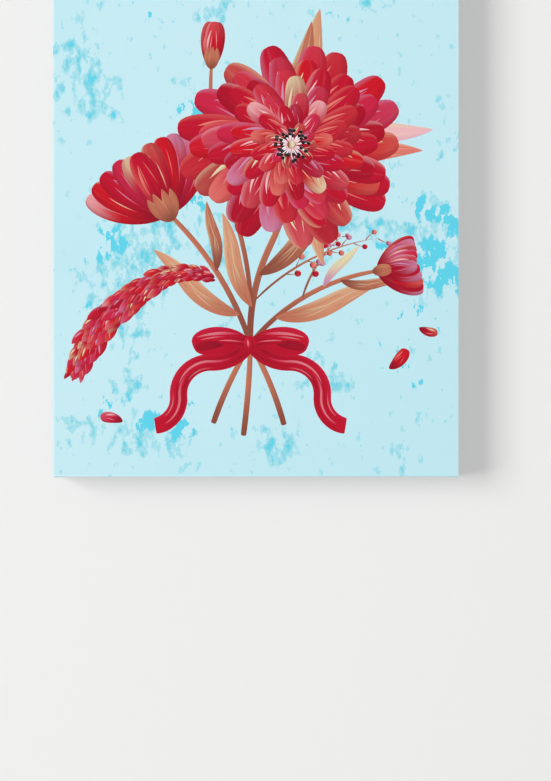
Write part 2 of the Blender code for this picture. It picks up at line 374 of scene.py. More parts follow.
# How far a stroke is moved off its place, the shortest edge that the cut face keeps, and the
# distance at which the triangulation takes two points for one.
HAIR = 0.00002
SPECK = 0.0000002
CUT_MARGIN = 1e-7

# What the triangulation gives back: the triangles inside the outlines, and none of the rest.
INSIDE_ONLY = 1

# The angle up to which the cut face's edges count as straight.
STRAIGHT = 0.0005

# An outline that covers more than this many times its own area, and this much, has been spilt.
SPILT_TIMES = 1.3
SPILT_AREA = 2e-6


class Ink:
    """A stroke's colours: at its root, towards its tip, and on its lit edge.

    glow is how strong the lit edge is, shade how dark the other one is, streaks how streaky the
    body is, and flush how much of the light colour comes in at the tip.
    """

    def __init__(self, root, tip, light=None, glow=0.5, shade=0.4, streaks=0.35, flush=0.0):
        self.root = Vector(root)
        self.tip = Vector(tip)
        self.light = Vector(light or tip)
        self.tone = Vector((glow, shade, streaks))
        self.flush = flush


def plain_ink(root, tip):
    """Ink for a fine line: no lit edge, shade or streaks."""
    return Ink(root, tip, glow=0.0, shade=0.0, streaks=0.0)


def towards(angle, squash=1.0):
    """The way that an angle points, on a circle that may be squashed in its height."""
    return Vector((math.cos(angle), squash * math.sin(angle)))


def left_of(heading):
    """The direction to the left of a heading."""
    return Vector((-math.sin(heading), math.cos(heading)))


class Arc:
    """One bend of a stroke, from share s0 to share s1 of the stroke's length."""

    def __init__(self, start, heading, arc_length, bend, s0, s1):
        if abs(bend) < LEAST_BEND:
            bend = math.copysign(LEAST_BEND, bend)
        self.heading = heading
        self.bend = bend
        self.s0 = s0
        self.s1 = s1
        self.radius = arc_length / bend
        self.centre = start + self.radius * left_of(heading)

    def at(self, s):
        """The arc's point and heading at a share of the stroke's length."""
        heading = self.heading + self.bend * (s - self.s0) / (self.s1 - self.s0)
        return self.centre - self.radius * left_of(heading), heading

    def facts(self, width_scale, lit_side):
        """What a shader needs to know where a point lies along and across this arc."""
        turn = math.copysign(1.0, self.radius)
        middle = self.heading + self.bend / 2 - turn * math.pi / 2
        rate = (self.s1 - self.s0) / self.bend
        arc = (self.centre.x, self.centre.y, abs(self.radius))
        run = (middle, rate, (self.s0 + self.s1) / 2)
        return arc, run, -turn * lit_side / width_scale


class Stroke:
    """A tapered brush mark along a chain of arcs.

    bends is a list of (length, bend) pairs and width is half of the mark's greatest width.
    """

    def __init__(self, start, heading, bends, width, form, ink):
        self.form = form
        self.ink = ink
        self.width = width
        root_power, tip_power = form
        peak = root_power / (root_power + tip_power)
        self.width_scale = width / (peak ** root_power * (1 - peak) ** tip_power)
        self.arcs = []
        whole = sum(arc_length for arc_length, _ in bends)
        point, done = Vector(start), 0.0
        for arc_length, bend in bends:
            arc = Arc(point, heading, arc_length, bend, done / whole, (done + arc_length) / whole)
            self.arcs.append(arc)
            done += arc_length
            point, heading = arc.at(arc.s1)
        middle = self.at(0.5)[1]
        self.lit_side = 1.0 if left_of(middle).dot(LIGHT_FROM) > 0 else -1.0

    def half_width(self, s):
        """Half of the mark's width at share s of its length."""
        root_power, tip_power = self.form
        return self.width_scale * s ** root_power * (1 - s) ** tip_power

    def at(self, s, across=0.0):
        """The point and heading at share s of the length, and across from -1 to 1 to the left."""
        arc = next(arc for arc in self.arcs if s <= arc.s1 + ROUNDING)
        point, heading = arc.at(s)
        return point + left_of(heading) * (across * self.half_width(s)), heading

    def outlines(self):
        """An outline and the arc that it belongs to, for each arc, anticlockwise."""
        steps = SLIM_STEPS if self.width < SLIM_WIDTH else STROKE_STEPS * len(self.arcs)
        shares = [(1 - math.cos(math.pi * step / steps)) / 2 for step in range(steps + 1)]
        for arc in self.arcs:
            first, last = arc.s0 + NEAREST_SHARES, arc.s1 - NEAREST_SHARES
            inner = [share for share in shares if first < share < last]
            left, right = [], []
            for share in [arc.s0] + inner + [arc.s1]:
                point, heading = arc.at(share)
                half = self.half_width(min(max(share, 0.0), 1.0))
                left.append(point + left_of(heading) * half)
                if half > POINTED:
                    right.append(point - left_of(heading) * half)
            yield right[1:] + left[::-1] + right[:1], arc


def reach(start, end, bend):
    """The heading and bends of a single arc from start to end."""
    chord = Vector(end) - Vector(start)
    half = bend / 2
    arc_length = chord.length * (half / math.sin(half))
    return math.atan2(chord.y, chord.x) - half, [(arc_length, bend)]


def double_bend(start, end, bend):
    """The heading and bends of an S-curve from start to end."""
    heading, bends = reach(start, (Vector(start) + Vector(end)) / 2, bend)
    return heading, bends + [(bends[0][0], -bend)]


def blend(first, second, share):
    """The first of two colours with a share of the second in it."""
    return Vector(first).lerp(Vector(second), share)


# The layout of the spray, in metres across from the picture's middle and up from its foot:
# where the stems gather, the full flower, and the flower that is seen from its side.
GATHER_AT = Vector((-0.006, 0.150))
BLOOM_AT = Vector((0.040, 0.374))
CUP_AT = Vector((-0.098, 0.296))

# Below the bow: where each stem ends, and how far it bends.
STEM_FEET = (((-0.048, 0.060), -0.22), ((-0.014, 0.046), 0.10), ((0.032, 0.058), 0.25))

# A stem, the place along it, the twig's lean from it, its length and its bend.
SPRIGS = (
    ("tall", 0.60, 0.9, 0.110, 0.9),
    ("low", 0.46, 0.75, 0.085, -0.6),
    ("main", 0.20, -0.6, 0.165, -0.7),
)

# A stem, the place along it, the leaf's lean from it, its length, its bend, and the inks at its
# root and its tip.
STEM_LEAVES = (
    ("main", 0.18, 0.75, 0.112, -0.5, "terracotta", "tan"),
    ("main", 0.34, -0.85, 0.128, 0.6, "clay", "terracotta"),
    ("main", 0.55, 0.70, 0.092, -0.7, "terracotta", "coral"),
    ("left", 0.20, 0.95, 0.124, -0.7, "terracotta", "tan"),
    ("left", 0.52, -0.75, 0.080, 0.5, "clay", "terracotta"),
    ("tall", 0.55, 0.80, 0.074, -0.6, "terracotta", "tan"),
    ("tall", 0.74, -0.85, 0.066, 0.6, "mauve", "blush"),
    ("low", 0.24, -0.70, 0.126, 0.5, "terracotta", "tan"),
    ("low", 0.62, 0.75, 0.062, -0.5, "mauve", "cream"),
    ("low", 0.74, -0.80, 0.070, 0.7, "clay", "terracotta"),
)

# The leaves behind the full flower: heading, length, bend and inks.
BLOOM_LEAVES = (
    (1.05, 0.158, 0.5, "terracotta", "tan"),
    (0.42, 0.162, -0.5, "mauve", "blush"),
    (1.72, 0.142, -0.5, "clay", "terracotta"),
    (-0.42, 0.150, 0.6, "terracotta", "coral"),
    (-1.0, 0.142, -0.5, "clay", "tan"),
)

# The fallen petals: place, heading and length.
LOOSE_PETALS = (
    ((0.150, 0.122), 0.5, 0.030),
    ((-0.150, 0.062), 2.6, 0.026),
    ((0.184, 0.168), -0.6, 0.022),
)

# The lines beside the middle of a ribbon's tail and of a bow's loop: the shares of its length
# where each starts and ends, its distance, its width, and which ink it has. Sizes are in shares
# of the bow's own size.
TAIL_LINES = (
    (0.02, 0.46, 0.075, 0.030, "shadow"),
    (0.05, 0.40, -0.060, 0.018, "shadow"),
    (0.40, 0.95, -0.095, 0.026, "shadow"),
    (0.55, 0.97, 0.040, 0.013, "shadow"),
    (0.16, 0.62, 0.020, 0.022, "sheen"),
    (0.50, 0.93, -0.020, 0.020, "sheen"),
    (0.30, 0.56, -0.105, 0.010, "sheen"),
    (0.66, 0.90, 0.100, 0.011, "sheen"),
)
LOOP_LINES = (
    (0.02, 0.50, 0.040, 0.016, "shadow"),
    (0.02, 0.62, -0.050, 0.020, "shadow"),
    (0.03, 0.34, 0.110, 0.012, "shadow"),
    (0.20, 0.90, 0.130, 0.026, "sheen"),
    (0.10, 0.55, -0.005, 0.012, "sheen"),
    (0.42, 0.86, 0.065, 0.012, "sheen"),
)


class Brush:
    """Lays strokes one over another, and varies them a little."""

    def __init__(self, inks):
        self.inks = inks
        self.random = random.Random(inks.seed)
        self.strokes = []

    def vary(self, amount):
        """A random number that is at most this far from zero."""
        return self.random.uniform(-amount, amount)

    def paint(self, start, heading, bends, width, form, ink):
        """Adds a stroke, a hair off its place, since outlines that share a corner cut badly."""
        start = Vector(start) + Vector((self.vary(HAIR), self.vary(HAIR)))
        stroke = Stroke(start, heading, bends, width, form, ink)
        self.strokes.append(stroke)
        return stroke

    def line_on(self, stroke, share, across, size, bend, width, ink, lean=0.0):
        """A fine line that starts on a stroke and runs along it."""
        point, heading = stroke.at(share, across)
        self.paint(point, heading + lean, [(size, bend)], width, LEAF, ink)

    def beside(self, parent, first, last, offset, width, ink):
        """A stroke that keeps a fixed distance from its parent's middle line, to the left of it."""
        bends = []
        for arc in parent.arcs:
            covered = min(arc.s1, last) - max(arc.s0, first)
            if covered > 0:
                bend = arc.bend * covered / (arc.s1 - arc.s0)
                bends.append(((arc.radius - offset) * bend, bend))
        point, heading = parent.at(first)
        return self.paint(point + left_of(heading) * offset, heading, bends, width, LEAF, ink)

    def lines_beside(self, parent, table, side, size, line_inks):
        """Paints a table of lines on a part of the bow, mirrored on its left side."""
        for first, last, offset, width, ink in table:
            self.beside(parent, first, last, side * offset * size, width * size, line_inks[ink])

    def dot(self, centre, radius, ink):
        """A round mark."""
        start = Vector(centre) - Vector((radius, 0))
        self.paint(start, 0.0, [(2 * radius, 0.0)], radius, DISC, ink)


class Bouquet(Brush):
    """The floral spray, as strokes in painting order.

    Places are in metres: across from the picture's middle, and up from its foot. The numbers in
    each motif's method are its proportions, as shares of its own size, and its angles.
    """

    def petal(self, start, heading, size, width, bend, ink):
        """A petal with a fold down its middle, fine veins, and a light crescent on its lit edge."""
        petal = self.paint(start, heading, [(size, bend)], width, PETAL, ink)
        fold = plain_ink(blend(ink.root, self.inks.deep, 0.5), blend(ink.tip, ink.root, 0.5))
        self.line_on(petal, 0.08, 0.0, size * 0.62, bend * 0.6, width * 0.07, fold)
        vein = plain_ink(ink.tip, blend(ink.tip, ink.light, 0.7))
        for across in (-0.48, 0.42):
            share = 0.34 + self.vary(0.08)
            turn = bend * 0.4 - across * 0.35
            self.line_on(petal, share, across, size * 0.44, turn, width * 0.045, vein)
        lit = petal.lit_side
        turn = bend * 0.5 - lit * 0.50
        crescent = Ink(blend(ink.tip, ink.light, 0.35), ink.light, glow=0.3, shade=0.1, streaks=0.2)
        self.line_on(petal, 0.34, lit * 0.66, size * 0.50, turn, width * 0.11, crescent, lit * 0.14)
        return petal

    def petal_ink(self, flushes=(0.0, 0.0, 0.1, 0.7)):
        """Crimson, with a pale or warm tip now and then."""
        inks = self.inks
        body = self.random.choice((inks.crimson, inks.crimson, inks.carmine, inks.rose, inks.scarlet))
        light = self.random.choice((inks.mauve, inks.cream, inks.blush, inks.coral, inks.mauve))
        return Ink(inks.deep, body, light, glow=0.34, shade=0.6, streaks=0.19,
                   flush=self.random.choice(flushes))

    def bloom(self, centre, radius, squash):
        """A full flower seen a little from the side, its outer petals first."""
        rings, most = 7, 17
        for ring in range(rings):
            size = radius * (1 - ring / rings) ** 0.74
            flushes = (0.0, 0.1) if ring in (0, rings - 1) else (0.0, 0.0, 0.1, 0.75)
            count = most - ring
            for number in range(count):
                angle = math.tau * (number + 0.5 * (ring % 2)) / count + self.vary(0.09)
                outward = towards(angle, squash)
                start = Vector(centre) + outward * size * 0.06
                heading = math.atan2(outward.y, outward.x) + self.vary(0.08) - 0.2
                reach_out = size * outward.length * (1 + self.vary(0.06))
                ink = self.petal_ink(flushes)
                width = size * 0.128 + 0.0028
                self.petal(start, heading, reach_out, width, 0.42 + self.vary(0.2), ink)
        self.stamens(Vector(centre), radius * 0.17, squash)

    def stamens(self, centre, radius, squash):
        """A dark eye with two rings of white threads, each with a black tip."""
        inks = self.inks
        self.dot(centre, radius * 0.60, Ink(inks.black, inks.deep, inks.coral, glow=0.2, shade=0.6))
        thread_ink = plain_ink(inks.blush, inks.white)
        tip_ink = Ink(inks.black, inks.black, inks.white, glow=0.35)
        for count, share in ((23, 1.0), (15, 0.62)):
            for number in range(count):
                angle = math.tau * number / count + self.vary(0.10)
                outward = towards(angle, squash)
                bends = [(radius * share * (0.66 + self.vary(0.13)), self.vary(0.5))]
                heading = math.atan2(outward.y, outward.x)
                start = centre + outward * radius * 0.22
                thread = self.paint(start, heading, bends, 0.0007, BLADE, thread_ink)
                self.dot(thread.at(0.97)[0], 0.0021, tip_ink)
        self.dot(centre, radius * 0.20, Ink(inks.clay, inks.cream, inks.white, glow=0.6))

    def cup(self, base, heading, size, spread):
        """A flower seen from the side, its petals fanned over a calyx."""
        order = (-1.0, 1.0, -0.8, 0.82, -0.6, 0.62, -0.42, 0.4, -0.2, 0.22, 0.02)
        for step, lean in enumerate(order):
            turn = heading + lean * spread / 2
            tall = size * (1.0 - 0.12 * abs(lean)) * (1 - 0.03 * step)
            bend = -lean * 0.62 + self.vary(0.1)
            self.petal(base, turn + lean * 0.2, tall, size * 0.125, bend, self.petal_ink())
        back = Vector(base) - towards(heading) * size * 0.08
        for lean in (-0.9, 0.9, -0.35, 0.35):
            bends = [(size * 0.34, -lean * 0.8)]
            turn = heading + lean * spread / 2.4
            self.paint(back, turn, bends, size * 0.05, LEAF, self.sepal_ink())

    def sepal_ink(self):
        """The ink of calyxes, twigs and stalks."""
        return Ink(self.inks.clay, self.inks.terracotta, self.inks.tan, glow=0.6, shade=0.4)

    def bud(self, base, heading, size):
        """A closed bud: three wrapped petals in a calyx."""
        for lean in (-0.2, 0.22, 0.0):
            ink = self.petal_ink((0.1, 0.3))
            self.petal(base, heading + lean, size, size * 0.18, -lean * 1.4, ink)
        for lean in (-0.55, 0.55, 0.0):
            bends = [(size * 0.48, -lean * 1.3)]
            self.paint(base, heading + lean, bends, size * 0.07, LEAF, self.sepal_ink())

    def tassel(self, start, heading, bends, size, count):
        """A drooping tail of small overlapping petals, painted from its end upwards."""
        path = Stroke(start, heading, bends, size, LEAF, self.sepal_ink())
        for step in range(count):
            share = 0.99 - 0.95 * step / count
            side = (-1, 0.1, 1, -0.4, 0.5)[step % 5]
            fullness = 0.34 + 0.66 * math.sin(math.pi * (1 - share) ** 0.62) ** 0.8
            point, turn = path.at(share)
            point = point + left_of(turn) * side * size * 0.12 * fullness
            reach_out = size * fullness * (0.80 + self.vary(0.12))
            ink = self.petal_ink((0.0, 0.1, 0.3, 0.6))
            turn += side * 0.66 + self.vary(0.14)
            petal = self.paint(point, turn, [(reach_out, -side * 0.7)], reach_out * 0.19, LEAF, ink)
            if step % 2:
                lit = petal.lit_side
                vein = plain_ink(ink.tip, ink.light)
                self.line_on(petal, 0.35, lit * 0.5, reach_out * 0.46, -lit * 0.4, reach_out * 0.03, vein)

    def ribbon(self, knot, size):
        """A bow with two loops, and two long tails that wave downwards."""
        inks = self.inks
        front = Ink(inks.carmine, inks.crimson, inks.rose, glow=0.6, shade=0.6, streaks=0.3)
        inside = Ink(inks.deep, blend(inks.deep, inks.carmine, 0.5), inks.crimson, glow=0.2, shade=0.4)
        sheen_tip = blend(inks.rose, inks.blush, 0.35)
        line_inks = {
            "shadow": Ink(inks.deep, inks.carmine, inks.crimson, glow=0.1, shade=0.2),
            "sheen": Ink(inks.rose, sheen_tip, inks.blush, glow=0.3, shade=0.1),
        }
        up, down = math.pi / 2, -math.pi / 2
        for side in (-1, 1):
            waves = [(size * 0.85, side * 1.0), (size * 1.00, -side * 1.7), (size * 0.78, side * 1.5)]
            tail = self.paint(knot, down + side * 0.62, waves, size * 0.165, RIBBON, front)
            self.lines_beside(tail, TAIL_LINES, side, size, line_inks)
        for side in (-1, 1):
            bends = [(size * 1.10, -side * 0.62)]
            loop = self.paint(knot, up - side * 1.30, bends, size * 0.26, PETAL, front)
            point, turn = loop.at(0.46, -side * 0.34)
            bends = [(size * 0.53, -side * 0.30)]
            self.paint(point, turn + side * 0.05, bends, size * 0.088, PETAL, inside)
            self.lines_beside(loop, LOOP_LINES, side, size, line_inks)
        knot_foot = Vector(knot) - Vector((0.0, size * 0.15))
        middle = self.paint(knot_foot, up, [(size * 0.30, 0.2)], size * 0.115, DISC, front)
        self.beside(middle, 0.16, 0.90, -size * 0.045, size * 0.014, line_inks["shadow"])
        self.beside(middle, 0.22, 0.80, size * 0.035, size * 0.020, line_inks["sheen"])

    def leaf(self, start, heading, size, bend, root, tip):
        """A slender leaf with a midrib and side veins."""
        root, tip, light = getattr(self.inks, root), getattr(self.inks, tip), self.inks.cream
        bends = [(size * 0.55, bend), (size * 0.45, -bend * 0.45)]
        body = Ink(root, tip, light, glow=0.5, shade=0.45, streaks=0.3)
        leaf = self.paint(start, heading, bends, size * 0.085, LEAF, body)
        vein = plain_ink(blend(root, self.inks.clay, 0.3), blend(tip, light, 0.45))
        for across in (-0.5, 0.5):
            close = -across * 0.25
            self.line_on(leaf, 0.16, across, size * 0.36, bend * 0.62 + close, size * 0.0045, vein)
            self.line_on(leaf, 0.52, across, size * 0.32, -bend * 0.30 + close, size * 0.0040, vein)
        point, turn = leaf.at(0.02)
        rib = [(size * 0.53, bend), (size * 0.40, -bend * 0.45)]
        self.paint(point, turn, rib, size * 0.0075, BLADE, vein)

    def sprig(self, start, heading, size, bend):
        """A thin twig of berries."""
        inks, berries = self.inks, 9
        twig = self.paint(start, heading, [(size, bend)], 0.0013, BLADE, self.sepal_ink())
        for number in range(berries):
            place = 0.30 + 0.68 * number / (berries - 1)
            side = 1 if number % 2 else -1
            point, turn = twig.at(min(place, 0.98))
            bends = [(size * 0.085, -side * 0.5)]
            stalk = self.paint(point, turn + side * 0.8, bends, 0.0006, BLADE, self.sepal_ink())
            body = (inks.crimson, inks.coral, inks.mauve)[number % 3]
            berry = Ink(inks.deep, body, inks.cream, glow=0.7, shade=0.5)
            self.dot(stalk.at(0.98)[0], 0.0042 - 0.0014 * place, berry)

    def stem(self, start, heading, bends, width):
        """A stem of even width."""
        inks = self.inks
        ink = Ink(inks.clay, inks.terracotta, inks.tan, glow=0.7, shade=0.5, streaks=0.25)
        return self.paint(start, heading, bends, width, STEM, ink)

    def stems(self):
        """The stems' feet below the bow, and the four stems above it, by name."""
        for foot, bend in STEM_FEET:
            self.stem(foot, *reach(foot, GATHER_AT, bend), 0.0033)
        return {
            "main": self.stem(GATHER_AT, *double_bend(GATHER_AT, BLOOM_AT, -0.5), 0.0037),
            "left": self.stem(GATHER_AT, *reach(GATHER_AT, CUP_AT, 0.5), 0.0032),
            "tall": self.stem(GATHER_AT, *double_bend(GATHER_AT, (-0.050, 0.462), 0.42), 0.0027),
            "low": self.stem(GATHER_AT, *reach(GATHER_AT, (0.138, 0.232), -0.75), 0.0028),
        }

    def arrange(self):
        """Paints the whole spray: stems, leaves, tassel, then flowers."""
        stems = self.stems()
        for stem, share, lean, *twig in SPRIGS:
            start, heading = stems[stem].at(share)
            self.sprig(start, heading + lean, *twig)
        for stem, share, lean, *leaf in STEM_LEAVES:
            start, heading = stems[stem].at(share)
            self.leaf(start, heading + lean, *leaf)
        for leaf in BLOOM_LEAVES:
            self.leaf(BLOOM_AT, *leaf)
        start, heading = stems["left"].at(0.42)
        self.tassel(start, heading + 0.45, [(0.075, 1.05), (0.145, 0.75)], 0.036, 105)
        self.cup(CUP_AT, 2.05, 0.112, 2.0)
        self.bud(*stems["tall"].at(0.99), 0.054)
        self.cup(*stems["low"].at(0.99), 0.066, 1.35)
        self.bloom(BLOOM_AT, 0.118, 0.90)
        self.ribbon(GATHER_AT, 0.060)
        for place, heading, size in LOOSE_PETALS:
            self.petal(place, heading, size, size * 0.24, 0.7, self.petal_ink())
        return self.strokes


def outlines_of(strokes, low, high, shift):
    """The whole face's outline and each stroke's, and the stroke and arc that each belongs to."""
    corners = ((low.x, low.z), (high.x, low.z), (high.x, high.z), (low.x, high.z))
    outlines = [[Vector(corner) for corner in corners]]
    owners = [None]
    for stroke in strokes:
        for outline, arc in stroke.outlines():
            outlines.append([point + shift for point in outline])
            owners.append((stroke, arc))
    return outlines, owners


def printed_face(strokes, low, high, face_y):
    """A flat face at face_y, cut along the strokes' visible outlines.

    No modelling operator cuts one face along hundreds of crossing outlines, so a constrained
    triangulation does it. Each face keeps what a shader needs to draw its stroke.
    """
    shift = Vector((0.0, CANVAS_LOW.z))
    outlines, owners = outlines_of(strokes, low, high, shift)
    points, polygons = [], []
    for outline in outlines:
        polygons.append(list(range(len(points), len(points) + len(outline))))
        points.extend(outline)
    cut = delaunay_2d_cdt(points, [], polygons, INSIDE_ONLY, CUT_MARGIN, True)
    cut_points, _, cut_faces, _, _, above = cut
    tops = topmost(outlines, cut_points, cut_faces, above)
    mesh = cut_mesh(cut_points, cut_faces, tops, face_y)
    store_inks(mesh, owners, shift)
    return mesh


def cut_mesh(points, faces, owners, face_y):
    """The cut face as a mesh: no edges between faces of one owner, and its normal to the front."""
    shape = bmesh.new()
    verts = [shape.verts.new((point.x, face_y, point.y)) for point in points]
    owner_layer = shape.faces.layers.int.new("owner")
    for corners, owner in zip(faces, owners):
        face = shape.faces.new([verts[index] for index in corners])
        face[owner_layer] = owner
    bmesh.ops.dissolve_degenerate(shape, dist=SPECK, edges=shape.edges)
    for edge in shape.edges:
        edge.seam = len({face[owner_layer] for face in edge.link_faces}) > 1
    bmesh.ops.dissolve_limit(shape, angle_limit=STRAIGHT, use_dissolve_boundaries=False,
                             verts=shape.verts, edges=shape.edges, delimit={"SEAM"})
    for edge in shape.edges:
        edge.seam = False
    shape.normal_update()
    if shape.faces[:][0].normal.y > 0:
        bmesh.ops.reverse_faces(shape, faces=shape.faces)
    mesh = bpy.data.meshes.new("printed face")
    shape.to_mesh(mesh)
    shape.free()
    return mesh


def area_of(corners):
    """The area inside an anticlockwise outline."""
    sides = zip(corners, corners[1:] + corners[:1])
    return sum(first.x * second.y - second.x * first.y for first, second in sides) / 2


def topmost(outlines, points, faces, above):
    """The last outline painted over each face.

    Where outlines nearly touch, the triangulation can spill one over its edge, so an outline
    that covers more than its own area isn't counted.
    """
    spread = [0.0] * len(outlines)
    for corners, found in zip(faces, above):
        size = area_of([points[index] for index in corners])
        for index in found:
            spread[index] += size
    spilt = {index for index, outline in enumerate(outlines)
             if spread[index] > area_of(outline) * SPILT_TIMES + SPILT_AREA}
    return [max(index for index in found if index not in spilt) for found in above]


# The attributes that each face keeps, and how many numbers each of them is.
INK_FACTS = {"arc": 3, "run": 3, "taper": 3, "tone": 3, "root": 3, "tip": 3, "light": 3,
             "flush": 1, "inked": 1}


def ink_facts(stroke, arc, shift):
    """What a shader needs to draw a stroke: where its arc runs, how it tapers, its inks."""
    ring, run, across = arc.facts(stroke.width_scale, stroke.lit_side)
    return {
        "arc": (ring[0] + shift.x, ring[1] + shift.y, ring[2]),
        "run": run,
        "taper": (*stroke.form, across),
        "tone": stroke.ink.tone,
        "root": stroke.ink.root,
        "tip": stroke.ink.tip,
        "light": stroke.ink.light,
        "flush": (stroke.ink.flush,),
        "inked": (1.0,),
    }


def store_inks(mesh, owners, shift):
    """Writes each face's facts as attributes, all zero where the ground is bare."""
    bare = {name: (0.0,) * size for name, size in INK_FACTS.items()}
    facts = [ink_facts(*owner, shift) if owner else bare for owner in owners]
    faces = [facts[item.value] for item in mesh.attributes["owner"].data]
    mesh.attributes.remove(mesh.attributes["owner"])
    for name, size in INK_FACTS.items():
        kind, field = ("FLOAT_VECTOR", "vector") if size == 3 else ("FLOAT", "value")
        values = [number for face in faces for number in face[name]]
        mesh.attributes.new(name, kind, "FACE").data.foreach_set(field, values)


# ---------------------------------------------------------------------------------------------
# Finishes

# Half the spacing of a finger joint's teeth across a bar, and their length along it.
TOOTH = 0.0034
TOOTH_LENGTH = 0.010

# The amounts of torn noise at which a fleck begins and at which it is whole.
PALE_FLECKS = (0.622, 0.650)
MIDDLE_FLECKS = (0.700, 0.716)
STRONG_FLECKS = (0.765, 0.773)

# The spacing of the saw's marks on the keys.
SAW_MARKS = 0.0014

# Tints of the materials: husks in the raw cotton, redder pine, dulled zinc, and dust on rubber.
HUSK = srgb(140, 110, 74)
WARM_PINE = srgb(238, 196, 150)
DULL_ZINC = srgb(160, 164, 162)
DUST = srgb(120, 118, 114)


def weave(finish, pitch):
    """The height of a plain weave with uneven threads, about 0 to 1."""
    x, y, z = finish.split(finish.place())
    across = (x + y) * (math.pi / pitch)
    up = (z + y * 0.5) * (math.pi / pitch)
    over_under = across.maths("SINE") * up.maths("SINE") * 0.5 + 0.5
    warp = finish.grain((x, y, z), (900, 60, 22), 3.0)
    weft = finish.grain((x, y, z), (22, 60, 900), 3.0)
    return over_under * 0.35 + warp * 0.5 + weft * 0.5


def flecked_ground(finish, inks):
    """The pale ground with torn flecks, gathered in clusters, in three strengths."""
    place = finish.place()
    x, y, z = finish.split(place)
    torn = finish.noise(finish.joined(x * 1.2, y, z * 0.75), 74.0, 6.0, 0.60)
    gathered = finish.noise(place, 10.0, 3.0, 0.55).ramp(0.46, 0.64)
    strong_places = finish.noise(finish.joined(x + 4.7, y, z * 1.7), 9.0, 2.0, 0.5).ramp(0.52, 0.66)
    torn = torn + gathered * 0.17
    wash = finish.noise(place, 3.4, 2.0).ramp(0.42, 0.68)
    ground = finish.mix(wash * 0.3, inks.ground, blend(inks.ground, inks.white, 0.3))
    pale = finish.mix(torn.ramp(*PALE_FLECKS), ground, inks.fleck_pale)
    middle = finish.mix(torn.ramp(*MIDDLE_FLECKS), pale, inks.fleck_mid)
    strong = (torn + strong_places * 0.15).ramp(*STRONG_FLECKS)
    return finish.mix(strong, middle, inks.fleck_strong)


def along_and_across(finish, x, z, arc):
    """How far along its stroke a point is, from 0 to 1, and across it, from -1 to 1."""
    centre_x, centre_z, radius = arc
    middle, rate, share = finish.split(finish.attribute("run"))
    root_power, tip_power, across_scale = finish.split(finish.attribute("taper"))
    from_x = x - centre_x
    from_z = z - centre_z
    distance = (from_x * from_x + from_z * from_z) ** 0.5
    turn = (from_z.maths("ARCTAN2", from_x) - middle).maths("WRAP", math.pi, -math.pi)
    along = (share + turn * rate).clamped(0.002, 0.998)
    narrowing = (along ** root_power) * ((1 - along) ** tip_power)
    return along, (distance - radius) * across_scale / narrowing


def stroke_ink(finish):
    """The colour of a face's own stroke, from the arc that the face keeps."""
    x, _, z = finish.split(finish.place())
    arc = finish.split(finish.attribute("arc"))
    along, across = along_and_across(finish, x, z, arc)
    own_place = arc[0] * 91 + arc[1] * 57
    hairs = finish.noise(finish.joined(across * 3.2, along * 1.3, own_place), 1.0, 3.0, 0.65)
    wavering = along + (hairs - 0.5) * 0.35

    root, tip, light = (finish.attribute(name, "Color") for name in ("root", "tip", "light"))
    glow, shade, streaks = finish.split(finish.attribute("tone"))
    shaded = finish.mix(wavering.ramp(0.02, 0.62), root, tip)
    flushed = finish.mix(wavering.ramp(0.52, 1.0) * finish.attribute("flush", "Fac"), shaded, light)
    dark_hairs = (0.5 - hairs).ramp(0.0, 0.28) * streaks
    body = finish.mix(dark_hairs, flushed, finish.mix(0.55, flushed, root))
    body = finish.mix((hairs - 0.52).ramp(0.0, 0.3) * streaks * along, body, light)
    dark_side = (-across).ramp(0.15, 1.05) * shade
    body = finish.mix(dark_side, body, finish.mix(0.75, body, root))
    lit_edge = across.ramp(0.50, 1.0) * glow * along.ramp(0.1, 0.6)
    return finish.mix(lit_edge, body, light)


def printed_finish(settings):
    """Matt ink on primed canvas: the flecked ground, and each stroke on the faces it covers."""
    finish = Finish("printed canvas")
    inked = finish.attribute("inked", "Fac")
    ink = finish.mix(inked, flecked_ground(finish, settings.ink), stroke_ink(finish))
    threads = weave(finish, settings.cloth.weave_pitch)
    printed = finish.mix((threads - 0.5) * 0.10 + 0.05, ink, finish.scaled(ink, 0.86))
    finish.bump(threads, 0.00012, 0.35)
    roughness = 0.70 + threads * 0.08
    return finish.surface(Base_Color=printed, Roughness=roughness, Specular_IOR_Level=0.16)


def raw_cloth_finish(settings):
    """Unprinted cotton, with darker husks, uneven threads, and painted shade in the weave's hollows."""
    finish = Finish("raw canvas")
    raw = settings.cloth.raw
    place = finish.place()
    threads = weave(finish, settings.cloth.weave_pitch)
    husks = finish.noise(place, 520.0, 1.0).ramp(0.71, 0.76)
    blotches = finish.noise(place, 9.0, 3.0)
    cloth = finish.mix(blotches * 0.35, raw, finish.scaled(raw, 0.88))
    # Painted shade: the cloth is darker where the weave is low, in the hollows between the threads.
    cloth = finish.mix(threads.ramp(0.45, 0.15) * 0.5, cloth, finish.scaled(cloth, 0.78))
    cloth = finish.mix(husks * 0.45, cloth, HUSK)
    finish.bump(threads, 0.00022, 0.7)
    return finish.surface(Base_Color=cloth, Roughness=0.88, Specular_IOR_Level=0.2)


def finger_joints(along, across, pitch):
    """The number of the board that a point of a bar is in, and the line of the joints' glue."""
    teeth = (across * (1 / TOOTH)).maths("PINGPONG", 1.0)
    lengths = (along + teeth * TOOTH_LENGTH) * (1 / pitch) + 0.37
    board = lengths.maths("FLOOR")
    return board, abs(lengths - board - 0.5).ramp(0.4968, 0.4990)


def late_wood(finish, years, board):
    """How much late wood there is: it darkens through each year's ring, and ends at once."""
    years = years + finish.noise(finish.joined(years * 0.45, board, 0.0), 1.0, 2.0) * 1.9
    season = years.maths("FRACT")
    return season.ramp(0.25, 0.95) * (1 - season.ramp(0.95, 1.0))


